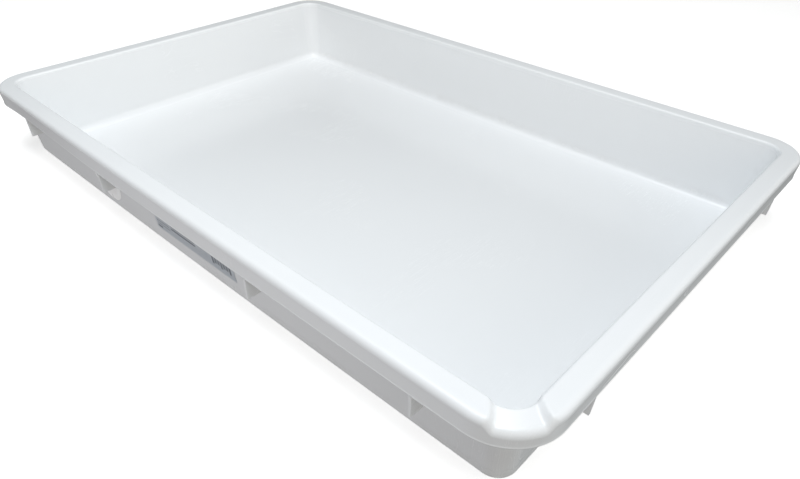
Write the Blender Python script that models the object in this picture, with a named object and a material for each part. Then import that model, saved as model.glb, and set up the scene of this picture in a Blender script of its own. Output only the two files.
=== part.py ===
"""A large white plastic developing tray with a pouring lip at one corner.

The tray is one moulding: an open basin, a flat flange round it, a skirt that hangs from the flange,
and upright ribs that stiffen the flange from below. Two stickers are fixed to one long outer wall.
Units are metres, +Z is up, X runs along the long sides, and the tray stands on the plane z = 0
with its middle over the origin. The pouring lip is at the corner (+X, -Y).
"""

import math

import bmesh
import bpy
from mathutils import Matrix, Vector

# Driving dimensions of the moulding.
tray_length = 0.680
tray_width = 0.460
tray_height = 0.0755
plastic = 0.0026
flange_width = 0.0180
skirt_height = 0.0190
corner_radius = 0.0360
lip_corner_radius = 0.0410
wall_lean = 0.0050
basin_fillet = 0.0080
outer_edge_radius = 0.0048
inner_edge_radius = 0.0024
foot_radius = 0.0040
corner_steps = 7
arc_steps = 3

# Driving dimensions of the pouring lip: a channel pressed into the flange across one corner.
lip_half_width = 0.0145
lip_side = 0.0020
lip_depth = 0.0055

# Driving dimensions of the ribs.
rib_thickness = 0.0024
rib_drop = 0.0180
long_side_ribs = (-0.262, -0.106, 0.106, 0.262)
short_side_ribs = (-0.154, 0.154)

# Driving dimensions of the stickers, which lie on the long outer wall at -Y.
sticker_thickness = 0.0002
sticker_gap = 0.0003
label_size = (0.117, 0.038)
label_middle = (0.0035, 0.0360)
disc_radius = 0.0255
disc_middle = (-0.1410, 0.0335)
disc_segments = 48

# Worked out from the dimensions above. An inset is a distance in from the outer edge of the tray.
half_length = tray_length / 2
half_width = tray_width / 2
basin_base_inset = flange_width + wall_lean
wall_top_inset = flange_width - plastic
foot_inset = basin_base_inset - plastic
wall_angle = math.atan2(wall_lean, tray_height - plastic - basin_fillet)


def clear_scene():
    for old in list(bpy.data.objects):
        bpy.data.objects.remove(old)


def plastic_material(name, colour, roughness):
    material = bpy.data.materials.new(name)
    material.use_nodes = True
    shader = material.node_tree.nodes["Principled BSDF"]
    shader.inputs["Base Color"].default_value = (*colour, 1.0)
    shader.inputs["Roughness"].default_value = roughness
    shader.inputs["Metallic"].default_value = 0.0
    return material


def object_from(name, mesh, material):
    mesh.materials.append(material)
    made = bpy.data.objects.new(name, mesh)
    bpy.context.scene.collection.objects.link(made)
    return made


def lip_weight(x, y):
    """1 inside the pouring channel and 0 outside it, for a point of the tray seen from above."""
    across = abs((x - half_length) + (y + half_width)) / math.sqrt(2)
    if x < 0 or y > 0:
        return 0.0
    return min(max((lip_half_width - across) / lip_side, 0.0), 1.0)


def plain_corner_angles():
    return [math.pi / 2 * step / corner_steps for step in range(corner_steps + 1)]


def lip_corner_angles(radius):
    """Angles from one end of the corner to the other, with points on both sides of the channel."""
    reach = max(radius, lip_corner_radius - flange_width)
    across = [0.0, 0.5 * lip_half_width, lip_half_width - lip_side, lip_half_width]
    half = [math.asin(distance / reach) for distance in across]
    ends = math.pi / 4
    half += [half[-1] + (ends - half[-1]) * step / arc_steps for step in range(1, arc_steps + 1)]
    return [ends - angle for angle in reversed(half[1:])] + [ends + angle for angle in half]


def ring_points(inset, z, dip):
    """One closed loop round the tray, counterclockwise from above, at a given inset and height."""
    points = []
    corners = ((1, -1), (1, 1), (-1, 1), (-1, -1))
    for index, (side_x, side_y) in enumerate(corners):
        at_lip = index == 0
        outer_radius = lip_corner_radius if at_lip else corner_radius
        radius = outer_radius - inset
        centre_x = side_x * (half_length - outer_radius)
        centre_y = side_y * (half_width - outer_radius)
        angles = lip_corner_angles(radius) if at_lip else plain_corner_angles()
        for angle in angles:
            turned = angle + (index - 1) * math.pi / 2
            x = centre_x + radius * math.cos(turned)
            y = centre_y + radius * math.sin(turned)
            points.append((x, y, z - dip * lip_weight(x, y)))
    return points


def arc(inset, z, radius, start, end):
    """Insets and heights along a round edge; the angle is 0 towards the middle and 90 degrees up."""
    found = []
    for step in range(arc_steps + 1):
        angle = math.radians(start + (end - start) * step / arc_steps)
        found.append((inset + radius * math.cos(angle), z + radius * math.sin(angle)))
    return found


def shell_profile():
    """Insets, heights and lip depths from the basin's floor, over the rim and down to the underside."""
    floor_arc = arc(basin_base_inset + basin_fillet, plastic + basin_fillet, basin_fillet, 270, 180)
    rim_inset = flange_width - inner_edge_radius
    rim_arc = arc(rim_inset, tray_height - inner_edge_radius, inner_edge_radius, 0, 90)
    edge_arc = arc(outer_edge_radius, tray_height - outer_edge_radius, outer_edge_radius, 90, 180)
    hidden_radius = outer_edge_radius - plastic
    hidden_arc = arc(outer_edge_radius, tray_height - outer_edge_radius, hidden_radius, 180, 90)
    foot_arc = arc(foot_inset + foot_radius, foot_radius, foot_radius, 180, 270)
    skirt_bottom = tray_height - skirt_height
    profile = [(inset, z, 0.0) for inset, z in floor_arc]
    profile += [(inset, z, lip_depth) for inset, z in rim_arc + edge_arc]
    profile += [(0.0, skirt_bottom, 0.0), (plastic, skirt_bottom, 0.0)]
    profile += [(inset, z, lip_depth) for inset, z in hidden_arc]
    profile += [(wall_top_inset, tray_height - plastic, lip_depth)]
    profile += [(inset, z, 0.0) for inset, z in foot_arc]
    return profile


def shell_mesh():
    shape = bmesh.new()
    loops = []
    for inset, z, dip in shell_profile():
        loops.append([shape.verts.new(point) for point in ring_points(inset, z, dip)])
    for lower, upper in zip(loops, loops[1:]):
        for here in range(len(lower)):
            after = (here + 1) % len(lower)
            shape.faces.new((lower[here], lower[after], upper[after], upper[here]))
    shape.faces.new(loops[0])
    shape.faces.new(reversed(loops[-1]))
    bmesh.ops.recalc_face_normals(shape, faces=shape.faces)
    mesh = bpy.data.meshes.new("tray")
    shape.to_mesh(mesh)
    shape.free()
    return mesh


def rib_outline():
    """Insets and heights of a rib, whose top and inner end are buried in the moulding."""
    buried = plastic / 2
    bottom = tray_height - skirt_height - rib_drop
    middle_arc = arc(
        outer_edge_radius, tray_height - outer_edge_radius, outer_edge_radius - buried, 180, 90
    )
    lean = math.tan(wall_angle) * (tray_height - plastic - bottom)
    inner_top = flange_width - buried
    return [(buried, bottom)] + middle_arc + [(inner_top, tray_height - buried), (inner_top + lean, bottom)]


def add_rib(shape, place):
    """One upright plate. In its own frame a rib lies in the plane x = 0, with its inset along +Y."""
    near = [shape.verts.new((-rib_thickness / 2, inset, z)) for inset, z in rib_outline()]
    far = [shape.verts.new((rib_thickness / 2, inset, z)) for inset, z in rib_outline()]
    for here in range(len(near)):
        after = (here + 1) % len(near)
        shape.faces.new((near[here], near[after], far[after], far[here]))
    shape.faces.new(near)
    shape.faces.new(reversed(far))
    bmesh.ops.transform(shape, matrix=place, verts=near + far)


def rib_places():
    places = []
    for side in (-1, 1):
        turn = Matrix.Rotation(math.pi if side > 0 else 0.0, 4, "Z")
        for x in long_side_ribs:
            places.append(Matrix.Translation((x, side * half_width, 0.0)) @ turn)
        turn = Matrix.Rotation(side * math.pi / 2, 4, "Z")
        for y in short_side_ribs:
            places.append(Matrix.Translation((side * half_length, y, 0.0)) @ turn)
    return places


def make_tray(material):
    shape = bmesh.new()
    for place in rib_places():
        add_rib(shape, place)
    bmesh.ops.recalc_face_normals(shape, faces=shape.faces)
    rib_mesh = bpy.data.meshes.new("ribs")
    shape.to_mesh(rib_mesh)
    shape.free()
    ribs = object_from("ribs", rib_mesh, material)
    ribs.hide_render = True
    ribs.display_type = "WIRE"
    tray = object_from("tray_moulding", shell_mesh(), material)
    join = tray.modifiers.new("ribs", "BOOLEAN")
    join.operation = "UNION"
    join.object = ribs
    tray.data.shade_smooth()
    tray.data.set_sharp_from_angle(angle=math.radians(30))
    return tray


def wall_frame(x, z):
    """The outward-facing frame of the long outer wall at -Y: local X along the tray, local Y up it."""
    drop = tray_height - plastic - z
    inset = wall_top_inset + math.tan(wall_angle) * drop
    point = Vector((x, inset - half_width, z))
    lean = Matrix.Rotation(math.pi / 2 + wall_angle, 4, "X")
    return Matrix.Translation(point) @ lean


def sticker(name, outline, middle, material):
    """A thin plate with the given outline, held just clear of the wall."""
    shape = bmesh.new()
    back = [shape.verts.new((x, y, sticker_gap)) for x, y in outline]
    front = [shape.verts.new((x, y, sticker_gap + sticker_thickness)) for x, y in outline]
    for here in range(len(back)):
        after = (here + 1) % len(back)
        shape.faces.new((back[here], back[after], front[after], front[here]))
    shape.faces.new(reversed(back))
    shape.faces.new(front)
    mesh = bpy.data.meshes.new(name)
    shape.to_mesh(mesh)
    shape.free()
    made = object_from(name, mesh, material)
    made.matrix_world = wall_frame(*middle)
    return made


def make_label(material):
    reach_x = label_size[0] / 2
    reach_y = label_size[1] / 2
    outline = [(-reach_x, -reach_y), (reach_x, -reach_y), (reach_x, reach_y), (-reach_x, reach_y)]
    return sticker("product_label", outline, label_middle, material)


def make_disc(material):
    turns = [2 * math.pi * step / disc_segments for step in range(disc_segments)]
    outline = [(disc_radius * math.cos(turn), disc_radius * math.sin(turn)) for turn in turns]
    return sticker("round_sticker", outline, disc_middle, material)


clear_scene()
make_tray(plastic_material("white_plastic", (0.80, 0.81, 0.81), 0.35))
make_label(plastic_material("label_paper", (0.52, 0.57, 0.63), 0.60))
make_disc(plastic_material("sticker_paper", (0.74, 0.75, 0.74), 0.55))
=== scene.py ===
"""Looks of a large white plastic developing tray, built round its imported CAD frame.

The moulding, its printed label and its round sticker are made again here as fine meshes, in the
places that the CAD gives them. Units are metres and +Z is up. The pouring lip is at (+X, -Y), and
the stickers are on the long outer wall at -Y.
"""

import math

import bmesh
import bpy
from mathutils import Matrix, Vector


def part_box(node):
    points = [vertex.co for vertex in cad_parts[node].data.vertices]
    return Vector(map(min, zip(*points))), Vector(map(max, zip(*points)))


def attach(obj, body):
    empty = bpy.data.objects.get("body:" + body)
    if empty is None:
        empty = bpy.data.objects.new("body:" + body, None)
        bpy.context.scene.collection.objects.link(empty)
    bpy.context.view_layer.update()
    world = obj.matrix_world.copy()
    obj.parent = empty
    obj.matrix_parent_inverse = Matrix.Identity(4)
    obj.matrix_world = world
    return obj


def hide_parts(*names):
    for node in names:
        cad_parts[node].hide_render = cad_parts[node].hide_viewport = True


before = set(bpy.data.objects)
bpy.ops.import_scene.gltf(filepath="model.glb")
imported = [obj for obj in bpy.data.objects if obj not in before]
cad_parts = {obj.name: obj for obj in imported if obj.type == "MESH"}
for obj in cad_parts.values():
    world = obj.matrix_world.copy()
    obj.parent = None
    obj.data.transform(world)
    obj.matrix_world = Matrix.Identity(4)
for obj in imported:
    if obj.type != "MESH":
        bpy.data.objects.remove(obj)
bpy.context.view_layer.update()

# The moulding's outer size, from the frame, and its other dimensions, which are those of the CAD.
tray_low, tray_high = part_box("tray_moulding")
tray_length = tray_high.x - tray_low.x
tray_width = tray_high.y - tray_low.y
tray_height = tray_high.z - tray_low.z
plastic = 0.0026
flange_width = 0.0180
skirt_height = 0.0190
corner_radius = 0.0360
lip_corner_radius = 0.0410
wall_lean = 0.0050
basin_fillet = 0.0080
outer_edge_radius = 0.0048
inner_edge_radius = 0.0024
foot_radius = 0.0040
rib_thickness = 0.0024
rib_drop = 0.0180
long_side_ribs = (-0.262, -0.106, 0.106, 0.262)
short_side_ribs = (-0.1540, 0.1540)

# Fine shapes of the moulding that only this script has. A rib's foot is the inset of its lowest point.
bead_radius = plastic / 2
bead_proud = 0.0004
bead_start_degrees = 155
root_radius = 0.0015
rib_bevel = 0.0003
long_side_foot = 0.0002
short_side_foot = 0.0014
floor_crown = 0.0004

# The pouring channel: its half width and how much wider it gets outwards, the width of its slopes, its
# depth at the flange's outer edge, and the share of that depth at the basin's rim.
lip_half_width = 0.0132
lip_spread = 0.0010
lip_flare = 0.0036
lip_side = 0.0036
lip_depth = 0.0060
lip_start = 0.40

# How far the real moulding strays from true: the near long side bows out and its skirt leans in towards
# the far end, the far short rim sags, and the basin's foot sits a little off centre.
near_long_bow = 0.0018
near_long_tuck = 0.0028
tuck_fade = 0.0600
far_short_sag = 0.0006
foot_shift_x = 0.0012
foot_shift_y = 0.0007

# The stickers. The round one has rings of points, and its middle is tinted out to the third ring.
sticker_gap = 0.00004
sticker_thickness = 0.00016
label_columns = 12
disc_radius = 0.0245
disc_edge = 0.0001
disc_rings = (0.0050, 0.0130, 0.0190, 0.0194, disc_radius - 0.0010)
disc_tinted_bands = 2
disc_steps = 72

# How finely the shapes are cut. The straight sides have closer stops along the lip's approach.
corner_steps = 20
lip_corner_steps = 72
long_side_steps = 26
short_side_steps = 18
lip_approach = 0.0180
lip_approach_steps = 24
flange_steps = 5
wall_steps = 4
arc_step_degrees = 10
floor_shares = (0.08, 0.30, 0.55, 0.80, 0.93)
sharp_edge_degrees = 35

# Colours, as pairs that a material drifts between, and single colours for the darker foot of the outer
# walls and for scratches.
plastic_colours = ((0.865, 0.877, 0.885), (0.873, 0.884, 0.891))
darker_foot_colour = (0.60, 0.585, 0.56)
scratch_colour = (0.62, 0.63, 0.64)
label_colours = ((0.53, 0.58, 0.63), (0.58, 0.62, 0.67))
ink_colours = ((0.06, 0.08, 0.11), (0.11, 0.13, 0.16))
disc_colours = ((0.94, 0.94, 0.93), (0.97, 0.97, 0.96))
tint_colours = ((0.90, 0.89, 0.88), (0.93, 0.92, 0.91))
floor_colours = ((0.90, 0.895, 0.885), (0.91, 0.905, 0.895))

# Where the plastic changes: darker towards the foot of the outer walls, and handled plastic on the rim.
outside_insets = (0.0250, 0.0225)
darker_foot_top = 0.014
rim_depths = (0.006, 0.001)

# The studio: the size of its floor and backdrop and how much light they give off, of their own.
floor_reach = 36.0
floor_drop = 0.0002
floor_glow = 0.60
backdrop_radius = 32.0
backdrop_top = 40.0
backdrop_sides = 64
backdrop_glow = 0.85

# Patches of light round the tray, each an azimuth from +X towards +Y and an elevation in degrees, a
# sharpness and a colour. Those with an elevation below 0 are on the ground, which has a light of its own.
# Sky and ground fade into each other just below the horizon.
light_patches = (
    (0, 50, 4, (0.30, 0.30, 0.30)),
    (45, 12, 8, (1.38, 1.42, 1.40)),
    (90, 12, 8, (0.30, 0.30, 0.30)),
    (180, 12, 8, (0.45, 0.50, 0.52)),
    (270, 12, 8, (0.40, 0.42, 0.45)),
    (315, 12, 8, (0.94, 0.85, 0.73)),
    (0, -35, 8, (0.18, 0.20, 0.20)),
    (45, -35, 8, (0.56, 0.60, 0.64)),
    (225, -35, 8, (1.27, 1.28, 1.34)),
    (315, -35, 8, (0.72, 0.72, 0.72)),
)
ground_light = (0.03, 0.03, 0.03)
horizon_fade = (-0.10, -0.02)

# Square lamps above the tray: a name, a place, the point it faces, a size, a power and a colour.
lamps = (
    ("overhead_near", (0.35, -0.35, 0.90), (0.0, 0.0, 0.0), 0.5, 3.7, (0.90, 0.95, 1.0)),
    ("overhead_middle", (0.10, -0.20, 1.20), (0.10, -0.20, 0.0), 0.6, 5.5, (0.95, 0.98, 1.0)),
    ("overhead_left", (-0.28, 0.0, 0.90), (-0.28, 0.0, 0.0), 0.4, 0.9, (0.97, 1.0, 1.0)),
)

# The camera: its place and lens, and the viewing angle. Azimuth 0 looks along +Y.
camera_place = (0.40716, -0.41223, 0.32856)
camera_azimuth = 43.17
camera_elevation = 41.28
camera_roll = 0.768
camera_lens = 27.60
camera_shift = (0.0265, 0.0847)

half_length = tray_length / 2
half_width = tray_width / 2
skirt_bottom = tray_height - skirt_height
wall_slope = wall_lean / (tray_height - plastic - basin_fillet)
wall_angle = math.atan(wall_slope)
wall_degrees = math.degrees(wall_angle)


# ---------------------------------------------------------------------------------------- shapes


def smooth_step(value):
    value = min(max(value, 0.0), 1.0)
    return value * value * (3 - 2 * value)


def fade_in(value, start, end):
    """0 up to the start and 1 from the end on, with a smooth rise between."""
    return smooth_step((value - start) / (end - start))


def settle(point):
    """Where a point of the straight design lies on the real moulding, which is a little out of true.

    Each error fades in over a part of the tray, between two shares of its half length or half width.
    """
    x, y, z = point
    along_x = max(1 - (x / half_length) ** 2, 0.0)
    along_y = max(1 - (y / half_width) ** 2, 0.0)
    near_long = fade_in(-y / half_width, 0.5, 0.9)
    far_short = fade_in(-x / half_length, 0.5, 0.9)
    below_skirt = max(1 - z / skirt_bottom, 0.0)
    on_skirt = 1 - min((half_width - abs(y)) / flange_width, 1.0)
    low_on_skirt = min((tray_height - z) / skirt_height, 1.0)
    far_end = fade_in(-x / half_length, 0.3, 0.8) * fade_in(x + half_length, 0.0, tuck_fade)
    x += foot_shift_x * below_skirt
    y += foot_shift_y * below_skirt - near_long_bow * along_x * near_long
    y += near_long_tuck * near_long * on_skirt * low_on_skirt * far_end
    z -= far_short_sag * along_y * far_short * z / tray_height
    return Vector((x, y, z))


def share_outwards(inset):
    """0 at the basin's rim and further in, rising to 1 at the flange's outer edge."""
    return 1 - min(max(inset / flange_width, 0.0), 1.0)


def lip_weight(x, y, inset):
    """1 at the outer end of the pouring channel, less towards the basin and 0 outside the channel.

    The channel's flare is felt only near the flange's outer edge.
    """
    if x < 0 or y > 0:
        return 0.0
    across = abs((x - half_length) + (y + half_width)) / math.sqrt(2)
    outwards = share_outwards(inset)
    flare = lip_flare * outwards**4
    half_width_here = lip_half_width + lip_spread * outwards + flare
    pressed = lip_start + (1 - lip_start) * outwards
    return pressed * smooth_step((half_width_here - across) / (lip_side + flare) + 0.5)


def corner_round(inset, at_lip):
    """The radius of a corner in plan. Only the flange is rounder where the lip is."""
    extra = (lip_corner_radius - corner_radius) * share_outwards(inset) if at_lip else 0.0
    return corner_radius + extra - inset


def side_stops(start, end, index):
    """Stops along one straight side, closer together where it meets the lip's corner."""
    steps = long_side_steps if index % 2 else short_side_steps
    near_steps = lip_approach_steps if index in (0, 3) else 0
    near = lip_approach / math.dist(start, end) if near_steps else 0.0
    shares = [near * step / near_steps for step in range(1, near_steps + 1)]
    shares += [near + (1 - near) * step / steps for step in range(1, steps)]
    if index == 3:
        shares = [1 - share for share in reversed(shares)]
    return [tuple(a + (b - a) * share for a, b in zip(start, end)) for share in shares]


def ring(inset, z, dip):
    """One closed loop round the tray, counterclockwise from above, starting at the lip's corner."""
    corners = []
    for index, (side_x, side_y) in enumerate(((1, -1), (1, 1), (-1, 1), (-1, -1))):
        at_lip = index == 0
        radius = corner_round(inset, at_lip)
        centre_x = side_x * (half_length - inset - radius)
        centre_y = side_y * (half_width - inset - radius)
        steps = lip_corner_steps if at_lip else corner_steps
        corner = []
        for step in range(steps + 1):
            turn = math.pi / 2 * (index - 1 + step / steps)
            corner.append((centre_x + radius * math.cos(turn), centre_y + radius * math.sin(turn)))
        corners.append(corner)
    points = []
    for index, corner in enumerate(corners):
        following = corners[(index + 1) % 4]
        points += corner + side_stops(corner[-1], following[0], index)
    return [(x, y, z - dip * lip_weight(x, y, inset)) for x, y in points]


def arc(inset, z, radius, start, end):
    """Insets and heights along a round edge; the angle is 0 towards the middle and 90 degrees up."""
    steps = max(2, round(abs(end - start) / arc_step_degrees))
    found = []
    for step in range(steps + 1):
        angle = math.radians(start + (end - start) * step / steps)
        found.append((inset + radius * math.cos(angle), z + radius * math.sin(angle)))
    return found


def inner_wall_inset(z):
    return flange_width + wall_slope * (tray_height - z)


def outer_wall_inset(z):
    return flange_width - plastic + wall_slope * (tray_height - plastic - z)


def between(start, end, steps):
    """Even stops strictly between two (inset, height) places."""
    shares = [step / steps for step in range(1, steps)]
    return [tuple(a + (b - a) * share for a, b in zip(start, end)) for share in shares]


def inner_profile():
    """The basin's inner side: floor fillet, wall and rim, as (inset, height, dip)."""
    floor_centre_z = plastic + basin_fillet
    floor_centre = inner_wall_inset(floor_centre_z) + basin_fillet / math.cos(wall_angle)
    floor_arc = arc(floor_centre, floor_centre_z, basin_fillet, 270, 180 + wall_degrees)
    rim_z = tray_height - inner_edge_radius
    rim_centre = inner_wall_inset(rim_z) - inner_edge_radius / math.cos(wall_angle)
    rim_arc = arc(rim_centre, rim_z, inner_edge_radius, wall_degrees, 90)
    wall = between(floor_arc[-1], rim_arc[0], wall_steps)
    level = [(inset, z, 0.0) for inset, z in floor_arc + wall]
    return level + [(inset, z, lip_depth) for inset, z in rim_arc]


def edge_profile(flange_start):
    """The flange's top, its round outer edge and the skirt with the bead along its bottom."""
    edge_arc = arc(outer_edge_radius, tray_height - outer_edge_radius, outer_edge_radius, 90, 180)
    flange = between(flange_start, edge_arc[0], flange_steps)
    dipped = [(inset, z, lip_depth) for inset, z in flange + edge_arc]
    neck = (bead_proud, skirt_bottom + 2 * bead_radius)
    bead = arc(bead_radius, skirt_bottom + bead_radius, bead_radius, bead_start_degrees, 360)
    return dipped + [(inset, z, 0.0) for inset, z in [neck] + bead]


def outer_profile():
    """The flange's underside, the outer wall and the foot."""
    hidden_radius = outer_edge_radius - plastic
    hidden_arc = arc(outer_edge_radius, tray_height - outer_edge_radius, hidden_radius, 180, 90)
    root_z = tray_height - plastic - root_radius
    root_centre = outer_wall_inset(root_z) - root_radius / math.cos(wall_angle)
    root_arc = arc(root_centre, root_z, root_radius, 90, wall_degrees)
    foot_centre = outer_wall_inset(foot_radius) + foot_radius / math.cos(wall_angle)
    foot_arc = arc(foot_centre, foot_radius, foot_radius, 180 + wall_degrees, 270)
    wall = between(root_arc[-1], foot_arc[0], wall_steps)
    dipped = [(inset, z, lip_depth) for inset, z in hidden_arc + root_arc]
    return dipped + [(inset, z, 0.0) for inset, z in wall + foot_arc]


def sheet_rings(rim_points, height, shares):
    """Loops that shrink towards the middle of the floor, which is a little higher than its edge."""
    rings = []
    for share in shares:
        z = height + floor_crown * (1 - share**2)
        rings.append([(x * share, y * share, z) for x, y, _ in rim_points])
    return rings


def shell_mesh():
    inner = inner_profile()
    profile = inner + edge_profile(inner[-1][:2]) + outer_profile()
    rings = [ring(*stop) for stop in profile]
    floor_rings = sheet_rings(rings[0], plastic, floor_shares)
    under_rings = sheet_rings(rings[-1], 0.0, reversed(floor_shares))
    shape = bmesh.new()
    loops = []
    for points in floor_rings + rings + under_rings:
        loops.append([shape.verts.new(settle(point)) for point in points])
    for lower, upper in zip(loops, loops[1:]):
        for here in range(len(lower)):
            after = (here + 1) % len(lower)
            shape.faces.new((lower[here], lower[after], upper[after], upper[here]))
    shape.faces.new(loops[0])
    shape.faces.new(reversed(loops[-1]))
    bmesh.ops.recalc_face_normals(shape, faces=shape.faces)
    mesh = bpy.data.meshes.new("tray_body")
    shape.to_mesh(mesh)
    shape.free()
    return mesh


def rib_outline(foot):
    """Insets and heights of a rib, whose top and inner end are buried in the moulding."""
    buried = plastic / 2
    bottom = skirt_bottom - rib_drop
    halfway = foot / 2
    crown_radius = outer_edge_radius - buried
    crown = arc(outer_edge_radius, tray_height - outer_edge_radius, crown_radius, 180, 90)
    inner_top = (outer_wall_inset(tray_height) + buried, tray_height - buried)
    inner_bottom = (outer_wall_inset(bottom) + buried, bottom)
    skirt_neck = (buried, skirt_bottom + bead_radius)
    return [(foot, bottom), (halfway, skirt_bottom), skirt_neck] + crown + [inner_top, inner_bottom]


def add_rib(shape, place, foot):
    """One upright plate with eased edges. In its own frame it lies in x = 0, with its inset along +Y."""
    outline = rib_outline(foot)
    near = [shape.verts.new((-rib_thickness / 2, inset, z)) for inset, z in outline]
    far = [shape.verts.new((rib_thickness / 2, inset, z)) for inset, z in outline]
    faces = []
    for here in range(len(near)):
        after = (here + 1) % len(near)
        faces.append(shape.faces.new((near[here], near[after], far[after], far[here])))
    caps = [shape.faces.new(near), shape.faces.new(reversed(far))]
    edges = list({edge for cap in caps for edge in cap.edges})
    eased = bmesh.ops.bevel(shape, geom=edges, offset=rib_bevel, segments=2, profile=0.5, affect="EDGES")
    verts = list({vert for face in eased["faces"] + faces + caps if face.is_valid for vert in face.verts})
    for vert in verts:
        vert.co = settle(place @ vert.co)


def rib_places():
    """Where each rib goes and how far in from the skirt's face its foot lies."""
    places = []
    for side in (-1, 1):
        turn = Matrix.Rotation(math.pi if side > 0 else 0.0, 4, "Z")
        for x in long_side_ribs:
            places.append((Matrix.Translation((x, side * half_width, 0.0)) @ turn, long_side_foot))
        turn = Matrix.Rotation(side * math.pi / 2, 4, "Z")
        for y in short_side_ribs:
            places.append((Matrix.Translation((side * half_length, y, 0.0)) @ turn, short_side_foot))
    return places


def rib_mesh():
    shape = bmesh.new()
    for place, foot in rib_places():
        add_rib(shape, place, foot)
    bmesh.ops.recalc_face_normals(shape, faces=shape.faces)
    mesh = bpy.data.meshes.new("ribs")
    shape.to_mesh(mesh)
    shape.free()
    return mesh


def linked(name, mesh):
    made = bpy.data.objects.new(name, mesh)
    bpy.context.scene.collection.objects.link(made)
    return made


def make_tray(material):
    """The shell and its ribs as one closed mesh, with shading that keeps the flats flat."""
    tray = linked("tray_body", shell_mesh())
    ribs = linked("ribs", rib_mesh())
    join = tray.modifiers.new("join", "BOOLEAN")
    join.operation = "UNION"
    join.object = ribs
    graph = bpy.context.evaluated_depsgraph_get()
    joined = bpy.data.meshes.new_from_object(tray.evaluated_get(graph))
    tray.modifiers.clear()
    tray.data = joined
    bpy.data.objects.remove(ribs)
    joined.materials.clear()
    joined.materials.append(material)
    joined.shade_smooth()
    joined.set_sharp_from_angle(angle=math.radians(sharp_edge_degrees))
    even = tray.modifiers.new("even_shading", "WEIGHTED_NORMAL")
    even.keep_sharp = True
    return tray


# -------------------------------------------------------------------------------------- stickers


def on_wall(x, height, standoff):
    """A point on the long outer wall at -Y, at a distance out from its face."""
    normal = Vector((0.0, -math.cos(wall_angle), -math.sin(wall_angle)))
    point = Vector((x, outer_wall_inset(height) - half_width, height))
    return settle(point) + normal * standoff


def bands(start, end, count, filled):
    """Even stripes between two values, each filled for a share of its pitch."""
    pitch = (end - start) / count
    return [(start + pitch * index, start + pitch * (index + filled)) for index in range(count)]


def label_marks(low_x, high_x, low_z, high_z):
    """The printed areas of the label as (x from, x to, z from, z to): rules and bars, with no lettering."""
    margin = 0.0030
    middle = low_z + 0.45 * (high_z - low_z)
    lower_top = middle + 0.0010
    # A small block at the bottom left and a broad bar across the top.
    marks = [
        (low_x + 0.0015, low_x + 0.0090, low_z + 0.0018, low_z + 0.0036),
        (low_x + margin, high_x - margin, high_z - 0.0090, high_z - 0.0040),
    ]
    # Thin rules at the lower left, thicker ones beside them, and two under the broad bar.
    for start, end in bands(low_z + 0.0055, lower_top, 4, 0.20):
        marks.append((low_x + 0.0020, low_x + 0.0225, start, end))
    for start, end in bands(low_z + 0.0080, lower_top, 3, 0.50):
        marks.append((low_x + 0.0250, low_x + 0.0620, start, end))
    for start, end in bands(middle + 0.0035, high_z - 0.0110, 2, 0.40):
        marks.append((low_x + margin, low_x + 0.0480, start, end))
    # Upright stripes at the lower right, of which every third is longer.
    for index, (start, end) in enumerate(bands(high_x - 0.0310, high_x - 0.0035, 7, 0.62)):
        shorter = 0.0020 if index % 3 else 0.0
        marks.append((start, end, low_z + 0.0045 + shorter, lower_top))
    return marks


def make_label(film, ink):
    """A thin plate that follows the wall, cut along the edges of its print so that each area is exact."""
    low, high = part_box("product_label")
    marks = label_marks(low.x, high.x, low.z, high.z)
    stops_x = {low.x, high.x} | {value for mark in marks for value in mark[:2]}
    stops_x |= {low.x + (high.x - low.x) * step / label_columns for step in range(label_columns + 1)}
    stops_z = {low.z, high.z} | {value for mark in marks for value in mark[2:]}
    stops_x = sorted({round(value, 6) for value in stops_x})
    stops_z = sorted({round(value, 6) for value in stops_z})
    shape = bmesh.new()
    sides = []
    for standoff in (sticker_gap, sticker_gap + sticker_thickness):
        sides.append([[shape.verts.new(on_wall(x, z, standoff)) for x in stops_x] for z in stops_z])
    back, front = sides
    last_row = len(stops_z) - 1
    last_column = len(stops_x) - 1
    for row in range(last_row):
        for column in range(last_column):
            x = (stops_x[column] + stops_x[column + 1]) / 2
            z = (stops_z[row] + stops_z[row + 1]) / 2
            printed = any(mark[0] < x < mark[1] and mark[2] < z < mark[3] for mark in marks)
            corners = ((row, column), (row, column + 1), (row + 1, column + 1), (row + 1, column))
            face = shape.faces.new([front[r][c] for r, c in corners])
            face.material_index = 1 if printed else 0
            shape.faces.new([back[r][c] for r, c in reversed(corners)])
    border = [(0, column) for column in range(last_column)]
    border += [(row, last_column) for row in range(last_row)]
    border += [(last_row, column) for column in range(last_column, 0, -1)]
    border += [(row, 0) for row in range(last_row, 0, -1)]
    back_border = [back[row][column] for row, column in border]
    front_border = [front[row][column] for row, column in border]
    for here in range(len(border)):
        after = (here + 1) % len(border)
        shape.faces.new((back_border[here], back_border[after], front_border[after], front_border[here]))
    bmesh.ops.recalc_face_normals(shape, faces=shape.faces)
    mesh = bpy.data.meshes.new("label_print")
    shape.to_mesh(mesh)
    shape.free()
    label = linked("label_sheet", mesh)
    mesh.materials.append(film)
    mesh.materials.append(ink)
    return label


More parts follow.
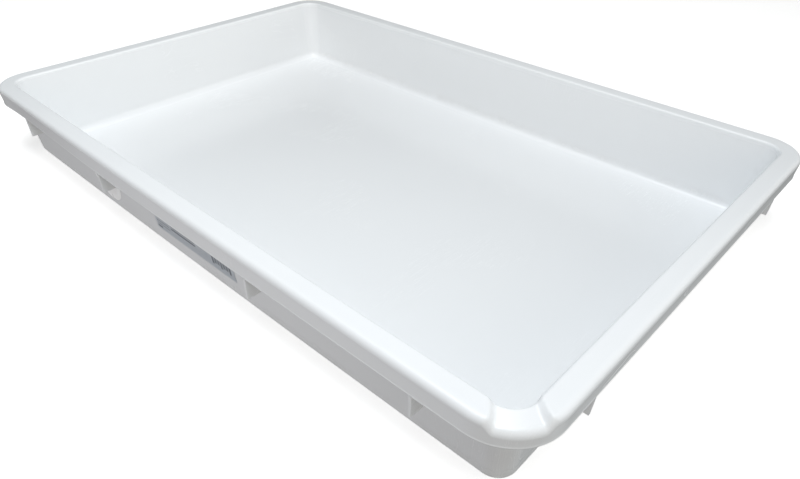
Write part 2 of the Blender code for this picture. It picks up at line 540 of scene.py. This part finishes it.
def make_disc(film, tint):
    """A round film with an eased edge and a slightly darker middle, following the wall."""
    low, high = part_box("round_sticker")
    middle_x = (low.x + high.x) / 2
    middle_z = (low.z + high.z) / 2
    front = sticker_gap + sticker_thickness
    stops = [(radius, front) for radius in disc_rings]
    stops += [(disc_radius - disc_edge, front), (disc_radius, front - disc_edge)]
    stops += [(disc_radius, sticker_gap), (disc_rings[2], sticker_gap), (disc_rings[0], sticker_gap)]
    shape = bmesh.new()
    loops = []
    for radius, standoff in stops:
        loop = []
        for step in range(disc_steps):
            angle = 2 * math.pi * step / disc_steps
            height = middle_z + radius * math.sin(angle) * math.cos(wall_angle)
            loop.append(shape.verts.new(on_wall(middle_x + radius * math.cos(angle), height, standoff)))
        loops.append(loop)
    for index, (inner, outer) in enumerate(zip(loops, loops[1:])):
        for here in range(disc_steps):
            after = (here + 1) % disc_steps
            face = shape.faces.new((inner[here], inner[after], outer[after], outer[here]))
            face.material_index = 1 if index < disc_tinted_bands else 0
    shape.faces.new(loops[0]).material_index = 1
    shape.faces.new(reversed(loops[-1]))
    bmesh.ops.recalc_face_normals(shape, faces=shape.faces)
    mesh = bpy.data.meshes.new("disc")
    shape.to_mesh(mesh)
    shape.free()
    disc = linked("round_film", mesh)
    mesh.materials.append(film)
    mesh.materials.append(tint)
    return disc


# ------------------------------------------------------------------------------------- materials


class Nodes:
    """Short ways to add nodes to one material."""

    def __init__(self, name):
        self.material = bpy.data.materials.new(name)
        self.material.use_nodes = True
        self.tree = self.material.node_tree
        self.shader = self.tree.nodes["Principled BSDF"]
        self.place = self.add("ShaderNodeTexCoord").outputs["Object"]

    def add(self, kind):
        return self.tree.nodes.new(kind)

    def link(self, source, target):
        self.tree.links.new(source, target)

    def scaled(self, scale, turn=(0.0, 0.0, 0.0)):
        """The place on the piece, stretched by a factor along each axis."""
        node = self.add("ShaderNodeMapping")
        node.inputs["Scale"].default_value = scale
        node.inputs["Rotation"].default_value = turn
        self.link(self.place, node.inputs["Vector"])
        return node.outputs["Vector"]

    def noise(self, scale, detail=2.0, roughness=0.5, place=None):
        node = self.add("ShaderNodeTexNoise")
        node.inputs["Scale"].default_value = scale
        node.inputs["Detail"].default_value = detail
        node.inputs["Roughness"].default_value = roughness
        self.link(self.place if place is None else place, node.inputs["Vector"])
        return node.outputs["Fac"]

    def ranged(self, value, low, high, to_low=0.0, to_high=1.0):
        node = self.add("ShaderNodeMapRange")
        node.inputs["From Min"].default_value = low
        node.inputs["From Max"].default_value = high
        node.inputs["To Min"].default_value = to_low
        node.inputs["To Max"].default_value = to_high
        self.link(value, node.inputs["Value"])
        return node.outputs["Result"]

    def maths(self, operation, first, second=0.0):
        node = self.add("ShaderNodeMath")
        node.operation = operation
        for socket, value in zip(node.inputs, (first, second)):
            if isinstance(value, (int, float)):
                socket.default_value = value
            else:
                self.link(value, socket)
        return node.outputs["Value"]

    def mix(self, share, first, second):
        """A colour between two; each is a colour or another node's output."""
        node = self.add("ShaderNodeMix")
        node.data_type = "RGBA"
        self.link(share, node.inputs["Factor"])
        for name, value in (("A", first), ("B", second)):
            socket = [found for found in node.inputs if found.name == name and found.type == "RGBA"][0]
            if isinstance(value, tuple):
                socket.default_value = (*value, 1.0)
            else:
                self.link(value, socket)
        return [found for found in node.outputs if found.type == "RGBA"][0]

    def split(self):
        """The place on the piece as three numbers."""
        node = self.add("ShaderNodeSeparateXYZ")
        self.link(self.place, node.inputs["Vector"])
        return node.outputs["X"], node.outputs["Y"], node.outputs["Z"]

    def bump(self, value, strength, distance, under=None):
        node = self.add("ShaderNodeBump")
        node.inputs["Strength"].default_value = strength
        node.inputs["Distance"].default_value = distance
        self.link(value, node.inputs["Height"])
        if under is not None:
            self.link(under, node.inputs["Normal"])
        return node.outputs["Normal"]

    def glow(self, strength):
        """White light of the surface's own, which shows but isn't used as a lamp."""
        self.shader.inputs["Emission Color"].default_value = (1.0, 1.0, 1.0, 1.0)
        self.shader.inputs["Emission Strength"].default_value = strength
        self.material.cycles.emission_sampling = "NONE"

    def finish(self, colour, roughness, normal, specular=0.5):
        self.link(colour, self.shader.inputs["Base Color"])
        self.link(roughness, self.shader.inputs["Roughness"])
        self.link(normal, self.shader.inputs["Normal"])
        self.shader.inputs["Specular IOR Level"].default_value = specular
        return self.material


def scratches(nodes, turn, across_scale):
    """Short thin hairlines that all run one way, 0 where there is none and 1 in the middle of one."""
    along_scale = 22.0
    stretched = nodes.scaled((across_scale, along_scale, along_scale), (0.0, 0.0, turn))
    off_middle = nodes.maths("SUBTRACT", nodes.noise(1.0, 1.0, 0.4, stretched), 0.5)
    hair = nodes.ranged(nodes.maths("ABSOLUTE", off_middle), 0.010, 0.0)
    patches = nodes.ranged(nodes.noise(9.0, 2.0), 0.56, 0.66)
    return nodes.maths("MULTIPLY", hair, patches)


def white_plastic():
    """Semi-gloss moulded plastic: faint flow clouds, fine grain, hairline scratches and a handled rim."""
    nodes = Nodes("white_plastic")
    side_x, side_y, height = nodes.split()
    inset_x = nodes.maths("SUBTRACT", half_length, nodes.maths("ABSOLUTE", side_x))
    inset_y = nodes.maths("SUBTRACT", half_width, nodes.maths("ABSOLUTE", side_y))
    clouds = nodes.ranged(nodes.noise(4.0, 2.0, 0.5), 0.35, 0.65)
    outside = nodes.ranged(nodes.maths("MINIMUM", inset_x, inset_y), *outside_insets)
    foot = nodes.maths("MULTIPLY", outside, nodes.ranged(height, darker_foot_top, 0.0))
    # The outer walls get darker towards their foot, in noisy patches.
    darker_foot = nodes.maths("MULTIPLY", foot, nodes.ranged(nodes.noise(60.0, 4.0, 0.6), 0.40, 0.75))
    hairlines = nodes.maths("MAXIMUM", scratches(nodes, 0.5, 700.0), scratches(nodes, -1.1, 900.0))
    on_rim = nodes.ranged(height, tray_height - rim_depths[0], tray_height - rim_depths[1])
    worn = nodes.maths("MULTIPLY", on_rim, nodes.ranged(nodes.noise(35.0, 3.0), 0.45, 0.60))

    colour = nodes.mix(clouds, *plastic_colours)
    colour = nodes.mix(nodes.maths("MULTIPLY", darker_foot, 0.5), colour, darker_foot_colour)
    colour = nodes.mix(nodes.maths("MULTIPLY", hairlines, 0.10), colour, scratch_colour)

    # Duller on the rim, in scratches and on the darker foot, and a little glossier where hands have worn
    # the rim.
    roughness = nodes.ranged(clouds, 0.0, 1.0, 0.20, 0.25)
    roughness = nodes.maths("ADD", roughness, nodes.maths("MULTIPLY", on_rim, 0.16))
    roughness = nodes.maths("SUBTRACT", roughness, nodes.maths("MULTIPLY", worn, 0.06))
    roughness = nodes.maths("ADD", roughness, nodes.maths("MULTIPLY", hairlines, 0.15))
    roughness = nodes.maths("ADD", roughness, nodes.maths("MULTIPLY", darker_foot, 0.20))

    ripple = nodes.bump(nodes.noise(14.0, 0.0), 0.10, 0.0003)
    grain = nodes.bump(nodes.noise(1100.0, 2.0, 0.6), 0.10, 0.00003, ripple)
    normal = nodes.bump(hairlines, 0.20, 0.00003, grain)
    return nodes.finish(colour, roughness, normal)


def film(name, colours, roughness_range, specular=0.5, painted_glow=0.0):
    """Thin printed film: slight mottling and a soft satin surface. It can glow a little of its own, a
    painted light that makes white paper look lighter than its lamps make it.
    """
    nodes = Nodes(name)
    # The glow is painted light, not a lamp.
    nodes.glow(painted_glow)
    colour = nodes.mix(nodes.ranged(nodes.noise(240.0, 4.0, 0.6), 0.35, 0.65), *colours)
    roughness = nodes.ranged(nodes.noise(90.0, 2.0), 0.3, 0.7, *roughness_range)
    wrinkle = nodes.bump(nodes.noise(70.0, 2.0), 0.30, 0.00010)
    normal = nodes.bump(nodes.noise(2200.0, 2.0), 0.15, 0.00003, wrinkle)
    return nodes.finish(colour, roughness, normal, specular)


def floor_material():
    """Pale paper that glows a little, so that the shadows on it stay faint."""
    nodes = Nodes("studio_floor")
    nodes.glow(floor_glow)
    mottle = nodes.ranged(nodes.noise(3.0, 3.0), 0.3, 0.7)
    colour = nodes.mix(mottle, *floor_colours)
    roughness = nodes.ranged(mottle, 0.0, 1.0, 0.75, 0.80)
    normal = nodes.bump(nodes.noise(400.0, 2.0), 0.05, 0.0001)
    return nodes.finish(colour, roughness, normal, 0.2)


# ---------------------------------------------------------------------------------------- studio


def hide_from_light(stage):
    """Makes a stage piece visible to the camera only, so that it neither lights nor shades the tray."""
    stage.visible_diffuse = False
    stage.visible_glossy = False
    stage.visible_transmission = False
    stage.visible_shadow = False


def make_floor():
    sides = ((-1, -1), (1, -1), (1, 1), (-1, 1))
    corners = [(side_x * floor_reach, side_y * floor_reach, 0.0) for side_x, side_y in sides]
    mesh = bpy.data.meshes.new("studio_floor")
    mesh.from_pydata(corners, [], [(0, 1, 2, 3)])
    mesh.materials.append(floor_material())
    floor = linked("studio_floor", mesh)
    floor.location.z = -floor_drop
    hide_from_light(floor)


def make_backdrop():
    """A far pale wall all round, seen only by the camera."""
    shape = bmesh.new()
    turns = [2 * math.pi * step / backdrop_sides for step in range(backdrop_sides)]
    around = [(backdrop_radius * math.cos(turn), backdrop_radius * math.sin(turn)) for turn in turns]
    foot = [shape.verts.new((x, y, 0.0)) for x, y in around]
    head = [shape.verts.new((x, y, backdrop_top)) for x, y in around]
    for here in range(backdrop_sides):
        after = (here + 1) % backdrop_sides
        shape.faces.new((foot[here], foot[after], head[after], head[here]))
    mesh = bpy.data.meshes.new("studio_backdrop")
    shape.to_mesh(mesh)
    shape.free()
    nodes = Nodes("studio_backdrop")
    nodes.shader.inputs["Base Color"].default_value = (0.0, 0.0, 0.0, 1.0)
    nodes.glow(backdrop_glow)
    mesh.materials.append(nodes.material)
    backdrop = linked("studio_backdrop", mesh)
    hide_from_light(backdrop)


def make_world(patches, ground):
    """A soft tent: broad patches of light round the tray and on the ground below the horizon."""
    world = bpy.data.worlds.new("studio")
    world.use_nodes = True
    tree = world.node_tree

    def node(kind, operation, *sources):
        made = tree.nodes.new(kind)
        if operation:
            made.operation = operation
        for socket, source in zip(made.inputs, sources):
            if isinstance(source, (int, float, tuple, Vector)):
                socket.default_value = source
            else:
                tree.links.new(source, socket)
        return made

    place = node("ShaderNodeTexCoord", None).outputs["Generated"]
    height = node("ShaderNodeSeparateXYZ", None, place).outputs["Z"]
    sky = node("ShaderNodeMapRange", None, height, *horizon_fade).outputs["Result"]
    below = node("ShaderNodeMath", "SUBTRACT", 1.0, sky).outputs["Value"]
    total = node("ShaderNodeVectorMath", "MULTIPLY", ground, below).outputs["Vector"]
    for azimuth, elevation, sharpness, colour in patches:
        turned = math.radians(azimuth)
        raised = math.radians(elevation)
        aim = Vector((
            math.cos(turned) * math.cos(raised),
            math.sin(turned) * math.cos(raised),
            math.sin(raised),
        ))
        facing = node("ShaderNodeVectorMath", "DOT_PRODUCT", place, aim).outputs["Value"]
        facing = node("ShaderNodeMath", "MAXIMUM", facing, 0.0).outputs["Value"]
        spread = node("ShaderNodeMath", "POWER", facing, sharpness).outputs["Value"]
        side = sky if elevation > 0 else below
        share = node("ShaderNodeMath", "MULTIPLY", spread, side).outputs["Value"]
        light = node("ShaderNodeVectorMath", "MULTIPLY", colour, share).outputs["Vector"]
        total = node("ShaderNodeVectorMath", "ADD", total, light).outputs["Vector"]
    tree.links.new(total, tree.nodes["Background"].inputs["Color"])
    bpy.context.scene.world = world


def soft_light(name, place, target, size, power, colour):
    data = bpy.data.lights.new(name, "AREA")
    data.size = size
    data.energy = power
    data.color = colour
    light = bpy.data.objects.new(name, data)
    bpy.context.scene.collection.objects.link(light)
    light.location = place
    light.rotation_mode = "QUATERNION"
    light.rotation_quaternion = (Vector(target) - Vector(place)).to_track_quat("-Z", "Y")


def make_camera():
    """The viewing angle; the roll turns the picture about its middle."""
    azimuth = math.radians(camera_azimuth)
    elevation = math.radians(camera_elevation)
    roll = math.radians(camera_roll)
    back = Vector((
        math.sin(azimuth) * math.cos(elevation),
        -math.cos(azimuth) * math.cos(elevation),
        math.sin(elevation),
    ))
    level_right = Vector((math.cos(azimuth), math.sin(azimuth), 0.0))
    level_up = back.cross(level_right)
    right = math.cos(roll) * level_right + math.sin(roll) * level_up
    up = back.cross(right)
    data = bpy.data.cameras.new("camera")
    data.sensor_width = 36.0
    data.lens = camera_lens
    data.shift_x, data.shift_y = camera_shift
    data.clip_start = 0.01
    camera = bpy.data.objects.new("camera", data)
    bpy.context.scene.collection.objects.link(camera)
    camera.rotation_mode = "QUATERNION"
    camera.rotation_quaternion = Matrix((right, up, back)).transposed().to_quaternion()
    camera.location = camera_place
    bpy.context.scene.camera = camera


# -------------------------------------------------------------------------------------- assembly

tray = make_tray(white_plastic())
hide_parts("tray_moulding")
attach(tray, "root")

label_film = film("label_film", label_colours, (0.38, 0.50))
label_ink = film("label_ink", ink_colours, (0.42, 0.55))
label = make_label(label_film, label_ink)
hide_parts("product_label")
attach(label, "root")

# Both sticker films glow a little of their own: painted light that makes the white sticker lighter than its
# lamps make it.
disc_film = film("disc_film", disc_colours, (0.25, 0.35), specular=1.0, painted_glow=0.08)
disc_tint = film("disc_tint", tint_colours, (0.25, 0.35), specular=1.0, painted_glow=0.06)
disc = make_disc(disc_film, disc_tint)
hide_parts("round_sticker")
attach(disc, "root")

make_floor()
make_backdrop()
make_world(light_patches, ground_light)
for lamp in lamps:
    soft_light(*lamp)
make_camera()
bpy.context.scene.view_settings.view_transform = "Standard"
